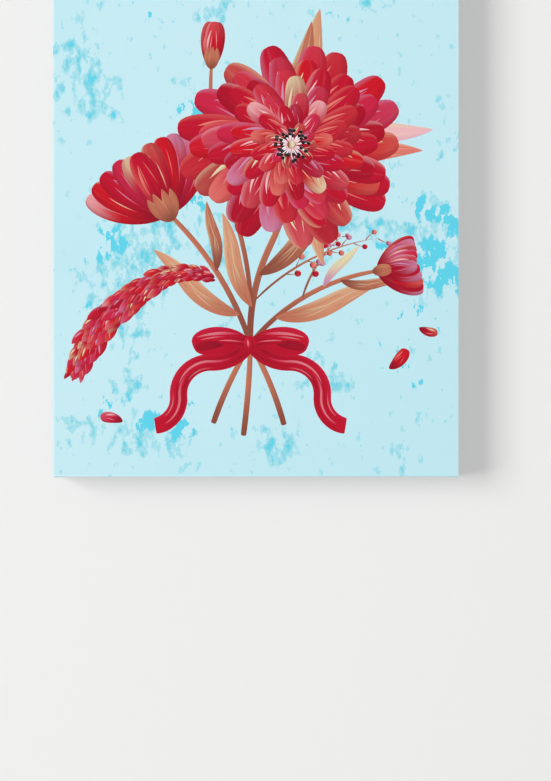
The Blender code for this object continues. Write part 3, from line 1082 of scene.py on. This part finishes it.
def timber_finish(name, settings, along_axis):
    """Finger-jointed pine with its grain along the given axis, 0 for X or 2 for Z."""
    timber = settings.timber
    finish = Finish(name)
    parts = finish.split(finish.place())
    along, depth, across = parts[along_axis], parts[1], parts[2 - along_axis]
    board, glue = finger_joints(along, across, timber.joint_pitch)
    tint = finish.chance(board + across.maths("SIGN") * 7.3)
    drift = finish.noise(finish.joined(along * 2.2, across * 7, depth * 9 + board * 3.1), 1.0, 2.0)
    knot_place = finish.joined(along * 5.2 + board * 1.7, across * 16, depth * 10)
    knots = finish.cells(knot_place)
    swirl = knots.ramp(0.35, 0.0) * 0.006
    from_pith = ((across + 0.03 + tint * 0.11) ** 2.0 + (depth + 0.06 - tint * 0.05) ** 2.0) ** 0.5
    years = (from_pith + drift * 0.016 + swirl) * (1 / timber.ring_pitch) * (0.7 + tint * 0.6)
    late = late_wood(finish, years, board) * (0.45 + drift * 0.7)
    fibres = finish.grain((along, across, depth), (34, 1500, 1500), 3.0)
    wood = finish.mix(late * 0.8, timber.early, timber.late)
    wood = finish.mix((fibres - 0.45) * 0.7, wood, finish.scaled(wood, 0.72))
    wood = finish.mix(tint * 0.28, wood, finish.mix(1.0, wood, WARM_PINE, "MULTIPLY"))
    wood = finish.mix(knots.ramp(0.115, 0.06), wood, timber.knot)
    wood = finish.mix(glue * 0.55, wood, timber.knot)
    finish.bump(fibres * 0.6 + late * 0.4 - glue * 0.8, 0.00018, 0.6)
    return finish.surface(Base_Color=wood, Roughness=0.58 + fibres * 0.16, Specular_IOR_Level=0.3)


def key_finish(settings):
    """Sawn hardwood with short flecks and saw marks."""
    finish = Finish("sawn hardwood")
    hardwood = settings.timber.hardwood
    x, y, z = finish.split(finish.place())
    fibres = finish.grain((x, y, z), (240, 900, 240), 3.0)
    flecks = finish.grain((x, y, z), (700, 1600, 700), 2.0).ramp(0.58, 0.72)
    saw = ((x + z) * (math.tau / SAW_MARKS)).maths("SINE")
    wood = finish.mix((fibres - 0.35) * 0.8, hardwood, finish.scaled(hardwood, 0.7))
    wood = finish.mix(flecks * 0.5, wood, settings.timber.knot)
    finish.bump(saw * 0.2 + fibres * 0.5, 0.00015, 0.6)
    return finish.surface(Base_Color=wood, Roughness=0.66, Specular_IOR_Level=0.3)


def zinc_finish(settings):
    """Rolled and zinc-plated steel, a little dulled and streaked."""
    finish = Finish("zinc-plated steel")
    place = finish.place()
    rolled = finish.grain(finish.split(place), (60, 2600, 2600), 3.0)
    bloom = finish.noise(place, 420.0, 3.0)
    zinc = finish.mix(bloom * 0.5, settings.fittings.zinc, DULL_ZINC)
    finish.bump(rolled, 0.00004, 0.5)
    roughness = 0.30 + bloom * 0.24 + rolled * 0.08
    return finish.surface(Base_Color=zinc, Metallic=0.85, Roughness=roughness)


def rubber_finish(settings):
    """Matt moulded rubber with a fine grain and some dust."""
    finish = Finish("bumper rubber")
    place = finish.place()
    grain = finish.noise(place, 2600.0, 2.0)
    dust = finish.noise(place, 340.0, 3.0).ramp(0.5, 0.75)
    rubber = finish.mix(dust * 0.25, settings.fittings.rubber, DUST)
    finish.bump(grain, 0.00008, 0.5)
    roughness = 0.72 + dust * 0.15
    return finish.surface(Base_Color=rubber, Roughness=roughness, Specular_IOR_Level=0.35)


# ---------------------------------------------------------------------------------------------
# Modelling

# Faces that meet at less than this angle are shaded as one, except faces that are level: those
# whose normal lies along an axis this nearly.
SMOOTH_ANGLE = math.radians(30)
LEVEL = 0.9999


def start_alone():
    """Leaves edit mode and deselects everything, so that an operator acts on the new piece only."""
    if bpy.context.object and bpy.context.object.mode != "OBJECT":
        bpy.ops.object.mode_set(mode="OBJECT")
    bpy.ops.object.select_all(action="DESELECT")


def only(obj):
    """Selects one object alone, and makes it the active one."""
    start_alone()
    obj.select_set(True)
    bpy.context.view_layer.objects.active = obj
    return obj


def block(name, low, high):
    """A box between two corners, its place in its mesh."""
    start_alone()
    low, high = Vector(low), Vector(high)
    bpy.ops.mesh.primitive_cube_add(size=1, calc_uvs=False, location=(low + high) / 2)
    obj = bpy.context.object
    obj.scale = high - low
    bpy.ops.object.transform_apply(location=True, rotation=True, scale=True)
    obj.name = name
    return obj


def pick_faces(obj, wanted):
    """Goes into edit mode with only the wanted faces selected."""
    only(obj)
    bpy.ops.object.mode_set(mode="EDIT")
    bpy.ops.mesh.select_mode(type="FACE")
    bpy.ops.mesh.select_all(action="DESELECT")
    bpy.ops.object.mode_set(mode="OBJECT")
    for face in obj.data.polygons:
        face.select = wanted(face)
    bpy.ops.object.mode_set(mode="EDIT")


def bevel_all(obj, width, segments):
    """Rounds all of a piece's edges."""
    only(obj)
    bpy.ops.object.mode_set(mode="EDIT")
    bpy.ops.mesh.select_all(action="SELECT")
    bpy.ops.mesh.bevel(offset=width, segments=segments, affect="EDGES")
    bpy.ops.object.mode_set(mode="OBJECT")


def apply_modifiers(obj):
    only(obj)
    for modifier in list(obj.modifiers):
        bpy.ops.object.modifier_apply(modifier=modifier.name)


def join(objects, name):
    """Joins pieces into the first of them."""
    only(objects[0])
    for obj in objects[1:]:
        obj.select_set(True)
    bpy.ops.object.join()
    objects[0].name = name
    objects[0].data.name = name
    return objects[0]


def own_copy(obj):
    """A copy with a mesh of its own."""
    copy = obj.copy()
    copy.data = obj.data.copy()
    bpy.context.scene.collection.objects.link(copy)
    return copy


def settle(obj):
    """Puts the object at the origin, with its place in its mesh."""
    only(obj)
    bpy.ops.object.transform_apply(location=True, rotation=True, scale=True)


def thicken(obj, thickness):
    """Gives an open skin its thickness, inwards, with the next material inside and on its rim."""
    modifier = obj.modifiers.new("thickness", "SOLIDIFY")
    modifier.thickness = thickness
    modifier.offset = -1
    modifier.use_even_offset = True
    modifier.material_offset = 1
    modifier.material_offset_rim = 1
    apply_modifiers(obj)


def dress(obj, material):
    """Gives a piece one finish over all of it."""
    obj.data.materials.clear()
    obj.data.materials.append(material)
    return obj


def smooth_edges(obj):
    """Smooths rounded edges and keeps level faces level."""
    only(obj)
    bpy.ops.object.shade_smooth_by_angle(angle=SMOOTH_ANGLE)
    pick_faces(obj, lambda face: max(abs(part) for part in face.normal) > LEVEL)
    bpy.ops.mesh.faces_shade_flat()
    bpy.ops.object.mode_set(mode="OBJECT")


# ---------------------------------------------------------------------------------------------
# Operators


class CANVASPRINT_OT_canvas(bpy.types.Operator):
    """Wrap the canvas round the frame: printed outside, raw inside, folded over the back"""

    bl_idname = "canvas_print.canvas"
    bl_label = "Canvas"

    def execute(self, context):
        settings = context.scene.canvas_print
        canvas = self.wrapped(settings.cloth)
        canvas.data.materials.append(printed_finish(settings))
        canvas.data.materials.append(raw_cloth_finish(settings))
        thicken(canvas, settings.cloth.thickness)
        self.print_front(canvas, settings)
        smooth_edges(canvas)
        self.lay_out(canvas)
        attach(canvas, "root")
        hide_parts("canvas")
        return {"FINISHED"}

    def wrapped(self, cloth):
        """The cloth's outer surface, open at the back inside its folded edge."""
        skin = block("printed_canvas", CANVAS_LOW, CANVAS_HIGH)
        bevel_all(skin, cloth.edge_radius, 4)
        pick_faces(skin, lambda face: face.center.y > CANVAS_HIGH.y - TOUCH)
        bpy.ops.mesh.inset(thickness=cloth.bleed - cloth.edge_radius)
        bpy.ops.mesh.inset(thickness=cloth.flap - cloth.bleed)
        bpy.ops.mesh.delete(type="ONLY_FACE")
        bpy.ops.object.mode_set(mode="OBJECT")
        print_ends_x = PICTURE_WIDTH / 2 - cloth.bleed
        print_ends_z = PICTURE_HEIGHT / 2 - cloth.bleed
        for face in skin.data.polygons:
            x, y, z = face.center
            unprinted = abs(x) < print_ends_x and abs(z - PICTURE_MIDDLE_Z) < print_ends_z
            face.material_index = int(unprinted and y > CANVAS_HIGH.y - TOUCH)
        return skin

    def print_front(self, canvas, settings):
        """Puts the painted face in the place of the plain front."""
        pick_faces(canvas, lambda face: face.center.y < CANVAS_LOW.y + TOUCH)
        bpy.ops.mesh.delete(type="ONLY_FACE")
        bpy.ops.object.mode_set(mode="OBJECT")
        rounding = Vector((settings.cloth.edge_radius,) * 3)
        strokes = Bouquet(settings.ink).arrange()
        mesh = printed_face(strokes, CANVAS_LOW + rounding, CANVAS_HIGH - rounding, CANVAS_LOW.y)
        mesh.materials.append(canvas.data.materials[0])
        face = bpy.data.objects.new("printed face", mesh)
        bpy.context.scene.collection.objects.link(face)
        join([canvas, face], "printed_canvas")
        bpy.ops.object.mode_set(mode="EDIT")
        bpy.ops.mesh.select_mode(type="VERT")
        bpy.ops.mesh.select_all(action="DESELECT")
        bpy.ops.mesh.select_non_manifold()
        bpy.ops.mesh.remove_doubles(threshold=TOUCH)
        bpy.ops.object.mode_set(mode="OBJECT")

    def lay_out(self, canvas):
        """Lays the canvas's sides out flat beside each other, with most of the room for its front."""
        mesh = canvas.data
        uv = mesh.uv_layers.new(name="OFBake").data
        middle = (CANVAS_LOW + CANVAS_HIGH) / 2
        for face in mesh.polygons:
            axis = max(range(3), key=lambda index: abs(face.normal[index]))
            on_high_side = face.center[axis] > middle[axis]
            outward = (face.normal[axis] > 0) == on_high_side
            left, foot, scale = BAKE_PATCHES[axis, on_high_side, outward]
            across, up = [index for index in (0, 1, 2) if index != axis]
            for corner in face.loop_indices:
                place = mesh.vertices[mesh.loops[corner].vertex_index].co - CANVAS_LOW
                uv[corner].uv = (left + place[across] * scale, foot + place[up] * scale)


# How far a fold's end reaches down the flap, as a share of it, and the facing of its slanted cut.
FOLD_REACH = 0.94
FOLD_SLANT = (-0.92, 0, -0.39)


class CANVASPRINT_OT_folds(bpy.types.Operator):
    """Lay the folded layer of cloth at each corner, over the end of the picture and its back"""

    bl_idname = "canvas_print.folds"
    bl_label = "Corner Folds"

    def execute(self, context):
        settings = context.scene.canvas_print
        canvas = bpy.data.objects["printed_canvas"]
        first = self.fold(settings.cloth, canvas.data.materials)
        folds = [first] + [self.mirrored(first, *sides) for sides in ((-1, 1), (1, -1), (-1, -1))]
        for fold, name in zip(folds, ("top_right", "top_left", "bottom_right", "bottom_left")):
            fold.name = "fold_" + name
            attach(fold, "root")
        return {"FINISHED"}

    def fold(self, cloth, materials):
        """The top right corner's layer: a triangle on the top, and its end turned over the back."""
        corner, layer = CANVAS_HIGH, cloth.thickness
        left, right = corner.x - cloth.fold_width, corner.x - cloth.edge_radius
        start = (left, corner.y, corner.z)
        top = block("top", (left, CANVAS_LOW.y + cloth.edge_radius, corner.z),
                    (right, corner.y, corner.z + layer))
        slope = Vector((cloth.fold_width, -WRAP_DEPTH, 0)).normalized()
        self.cut(top, start, slope.cross(Vector((0, 0, 1))), True)
        back = block("back", (left, corner.y, corner.z - cloth.flap * FOLD_REACH),
                     (right, corner.y + layer, corner.z + layer))
        self.cut(back, start, FOLD_SLANT, True)
        self.cut(back, (corner.x, corner.y, corner.z - cloth.bleed), (0, 0, 1), False)
        fold = join([top, back], "fold")
        bevel_all(fold, layer * 0.3, 2)
        for material in materials:
            fold.data.materials.append(material)
        for face in fold.data.polygons:
            face.material_index = int(face.center.z < corner.z - cloth.bleed)
        smooth_edges(fold)
        return fold

    def cut(self, obj, place, facing, clear):
        """Cuts across a piece, and leaves out the side that the cut faces where clear is set."""
        pick_faces(obj, lambda face: True)
        bpy.ops.mesh.bisect(plane_co=place, plane_no=facing, use_fill=clear, clear_outer=clear)
        bpy.ops.object.mode_set(mode="OBJECT")

    def mirrored(self, fold, across, up):
        """A copy for another corner; a single mirroring turns the faces inside out again."""
        copy = own_copy(fold)
        copy.scale = (across, 1, up)
        copy.location.z = (1 - up) * PICTURE_MIDDLE_Z
        settle(copy)
        if across * up < 0:
            pick_faces(copy, lambda face: True)
            bpy.ops.mesh.flip_normals()
            bpy.ops.object.mode_set(mode="OBJECT")
        return copy


# How much shorter than its side a row of staples is, and a staple's greatest tilt.
STAPLES_END = 0.05
STAPLE_TILT = 0.14


class CANVASPRINT_OT_staples(bpy.types.Operator):
    """Staple the folded cloth to the bars, all round the back"""

    bl_idname = "canvas_print.staples"
    bl_label = "Staples"

    def execute(self, context):
        settings = context.scene.canvas_print
        fittings = settings.fittings
        chance = random.Random(settings.ink.seed)
        first = self.staple(fittings)
        staples = []
        for place, turn in self.places(settings.cloth, fittings):
            copy = own_copy(first)
            copy.location = place
            copy.rotation_euler.y = turn + chance.uniform(-STAPLE_TILT, STAPLE_TILT)
            settle(copy)
            staples.append(copy)
        bpy.data.objects.remove(first)
        staples = dress(join(staples, "staples"), zinc_finish(settings))
        smooth_edges(staples)
        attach(staples, "root")
        return {"FINISHED"}

    def staple(self, fittings):
        """One rounded crown, pressed a little into the cloth that lies at y = 0."""
        half, wire = fittings.staple_crown / 2, fittings.staple_wire
        crown = block("staple", (-half, -wire * 0.2, -wire / 2), (half, wire * 0.45, wire / 2))
        bevel_all(crown, wire * 0.22, 3)
        return crown

    def places(self, cloth, fittings):
        """Where each staple lies and how it is turned, spaced evenly along each side."""
        sides = ((PICTURE_WIDTH, PICTURE_HEIGHT, 0.0), (PICTURE_HEIGHT, PICTURE_WIDTH, math.pi / 2))
        for along, across, turn in sides:
            row = along - STAPLES_END
            count = round(row / fittings.staple_pitch)
            for number in range(count):
                run = (number / (count - 1) - 0.5) * row
                over_fold = not turn and abs(run) > along / 2 - cloth.fold_width
                lift = CANVAS_HIGH.y + cloth.thickness * over_fold
                for side in (-1, 1):
                    off = side * (across / 2 - fittings.staple_inset)
                    x, z = (off, run) if turn else (run, off)
                    yield (x, lift, z + PICTURE_MIDDLE_Z), turn


class CANVASPRINT_OT_timber(bpy.types.Operator):
    """Give the bars and the brace their pine, and the corner keys their hardwood"""

    bl_idname = "canvas_print.timber"
    bl_label = "Timber"

    def execute(self, context):
        settings = context.scene.canvas_print
        level = timber_finish("pine, level", settings, 0)
        upright = timber_finish("pine, upright", settings, 2)
        keys = key_finish(settings)
        for name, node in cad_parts.items():
            if name in ("bar_left", "bar_right"):
                node.data.materials[0] = upright
            elif name in ("bar_top", "bar_bottom", "brace"):
                node.data.materials[0] = level
            elif name.startswith("key_"):
                node.data.materials[0] = keys
        return {"FINISHED"}


class CANVASPRINT_OT_fittings(bpy.types.Operator):
    """Finish the hanger, its nails and the bumpers"""

    bl_idname = "canvas_print.fittings"
    bl_label = "Fittings"

    def execute(self, context):
        settings = context.scene.canvas_print
        zinc = zinc_finish(settings)
        rubber = rubber_finish(settings)
        for name in ("hanger", "nail_left", "nail_right"):
            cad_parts[name].data.materials[0] = zinc
        for name in ("bumper_left", "bumper_right"):
            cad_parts[name].data.materials[0] = rubber
        return {"FINISHED"}


# The wall's and the floor's size, and how far the camera sees.
ROOM_SIZE = 24
FAR = 50

# The soft panel's place in the room, and its width and height.
WINDOW_PLACE = (-7.23, -6.62, 0.60)
WINDOW_SIZE = (5.8, 6.4)

# Each distant light, named as its setting is, the direction that it comes from, and its spread
# in degrees. All but the first stand a little behind the wall's plane, and leave its front alone.
SUNS = (
    ("fill", (0.02, -1.0, -0.035), 3),
    ("top", (0.0, 0.04, 1.0), 3),
    ("side", (1.0, 0.06, 0.25), 3),
    ("below", (-0.2, 0.06, -1.0), 3),
    ("back", (-0.45, 1.0, 0.55), 24),
)


class CANVASPRINT_OT_stage(bpy.types.Operator):
    """Place the wall, the floor, the lights and the camera"""

    bl_idname = "canvas_print.stage"
    bl_label = "Stage"

    def execute(self, context):
        stage = context.scene.canvas_print.stage
        wall = self.plane("wall", (0, stage.wall_gap, 0), (math.pi / 2, 0, 0), stage.wall)
        for kind in ("diffuse", "glossy", "transmission", "volume_scatter"):
            setattr(wall, "visible_" + kind, False)
        self.plane("floor", (0, 0, -stage.floor_drop), (0, 0, 0), stage.floor)
        self.window(stage.key_power)
        for name, source, spread in SUNS:
            self.sun(name, Vector(source), getattr(stage, name), spread)
        self.surroundings(context.scene, stage)
        self.camera(context.scene, stage)
        context.scene.view_settings.view_transform = "Standard"
        return {"FINISHED"}

    def plane(self, name, middle, turn, base):
        """A large plane that can be seen from its front only."""
        start_alone()
        bpy.ops.mesh.primitive_plane_add(size=ROOM_SIZE, calc_uvs=False, location=middle, rotation=turn)
        obj = bpy.context.object
        obj.name = name
        obj.visible_shadow = False
        settle(obj)
        finish = Finish(name + " paint")
        behind = finish.node("ShaderNodeNewGeometry", output="Backfacing")
        finish.surface(Base_Color=base, Roughness=0.9, Specular_IOR_Level=0.2, Alpha=1 - behind)
        obj.data.materials.append(finish.material)
        return obj

    def window(self, key_power):
        """A large soft panel in the room's left side, facing right."""
        light = bpy.data.lights.new("key", "AREA")
        light.shape = "RECTANGLE"
        light.size, light.size_y = WINDOW_SIZE
        light.energy = key_power
        self.hang(light, WINDOW_PLACE, Vector((-1, 0, 0)))

    def sun(self, name, source, level, spread):
        """A distant light that comes from the source's direction, spread over some degrees."""
        light = bpy.data.lights.new(name, "SUN")
        light.energy = level
        light.angle = math.radians(spread)
        self.hang(light, (0, 0, 0), source)

    def hang(self, light, place, source):
        """Places a light. Nothing throws its light on, since the picture's sides would tint the wall."""
        light.cycles.max_bounces = 0
        obj = bpy.data.objects.new(light.name, light)
        obj.location = place
        obj.rotation_euler = (-source).to_track_quat("-Z", "Y").to_euler()
        bpy.context.scene.collection.objects.link(obj)

    def surroundings(self, scene, stage):
        """Dim even light from all around, which looks as bright as the wall and is dimmer in metal."""
        world = bpy.data.worlds.new("studio")
        world.use_nodes = True
        graph = Graph(world.node_tree)
        background = world.node_tree.nodes["Background"]
        in_metal = graph.node("ShaderNodeLightPath", output="Is Glossy Ray")
        in_view = graph.node("ShaderNodeLightPath", output="Is Camera Ray")
        share = in_metal.maths("MULTIPLY_ADD", stage.mirrored, in_view)
        inputs = {"Value": share, "To Min": stage.ambient, "To Max": stage.backdrop}
        graph.feed(background.inputs["Color"], (1.0, 1.0, 1.0))
        graph.feed(background.inputs["Strength"], graph.node("ShaderNodeMapRange", None, inputs))
        scene.world = world

    def camera(self, scene, stage):
        """Faces the wall squarely, below and a little to the right of the picture's middle."""
        data = bpy.data.cameras.new("camera")
        distance = stage.view_distance + CANVAS_LOW.y
        data.lens = data.sensor_width * distance / stage.view_height
        data.clip_end = FAR
        camera = bpy.data.objects.new("camera", data)
        camera.location = (stage.view_across, -stage.view_distance, CANVAS_LOW.z + stage.view_up)
        camera.rotation_euler = (math.pi / 2, 0, 0)
        scene.collection.objects.link(camera)
        scene.camera = camera


class CANVASPRINT_PT_panel(bpy.types.Panel):
    """The steps that dress the picture, in order"""

    bl_label = "Canvas Print"
    bl_idname = "CANVASPRINT_PT_panel"
    bl_space_type = "VIEW_3D"
    bl_region_type = "UI"
    bl_category = "Canvas Print"

    def draw(self, context):
        for step in STEPS:
            self.layout.operator(step.bl_idname, text=step.bl_label)


STEPS = (
    CANVASPRINT_OT_stage,
    CANVASPRINT_OT_canvas,
    CANVASPRINT_OT_folds,
    CANVASPRINT_OT_staples,
    CANVASPRINT_OT_timber,
    CANVASPRINT_OT_fittings,
)
CLASSES = (ClothSettings, PrintSettings, TimberSettings, FittingSettings, StageSettings,
           CanvasPrintSettings, CANVASPRINT_PT_panel) + STEPS


def register():
    for cls in CLASSES:
        bpy.utils.register_class(cls)
    bpy.types.Scene.canvas_print = PointerProperty(type=CanvasPrintSettings)


def unregister():
    del bpy.types.Scene.canvas_print
    for cls in reversed(CLASSES):
        bpy.utils.unregister_class(cls)


def main():
    register()
    bpy.ops.canvas_print.stage()
    bpy.ops.canvas_print.canvas()
    bpy.ops.canvas_print.folds()
    bpy.ops.canvas_print.staples()
    bpy.ops.canvas_print.timber()
    bpy.ops.canvas_print.fittings()


if __name__ == "__main__":
    main()
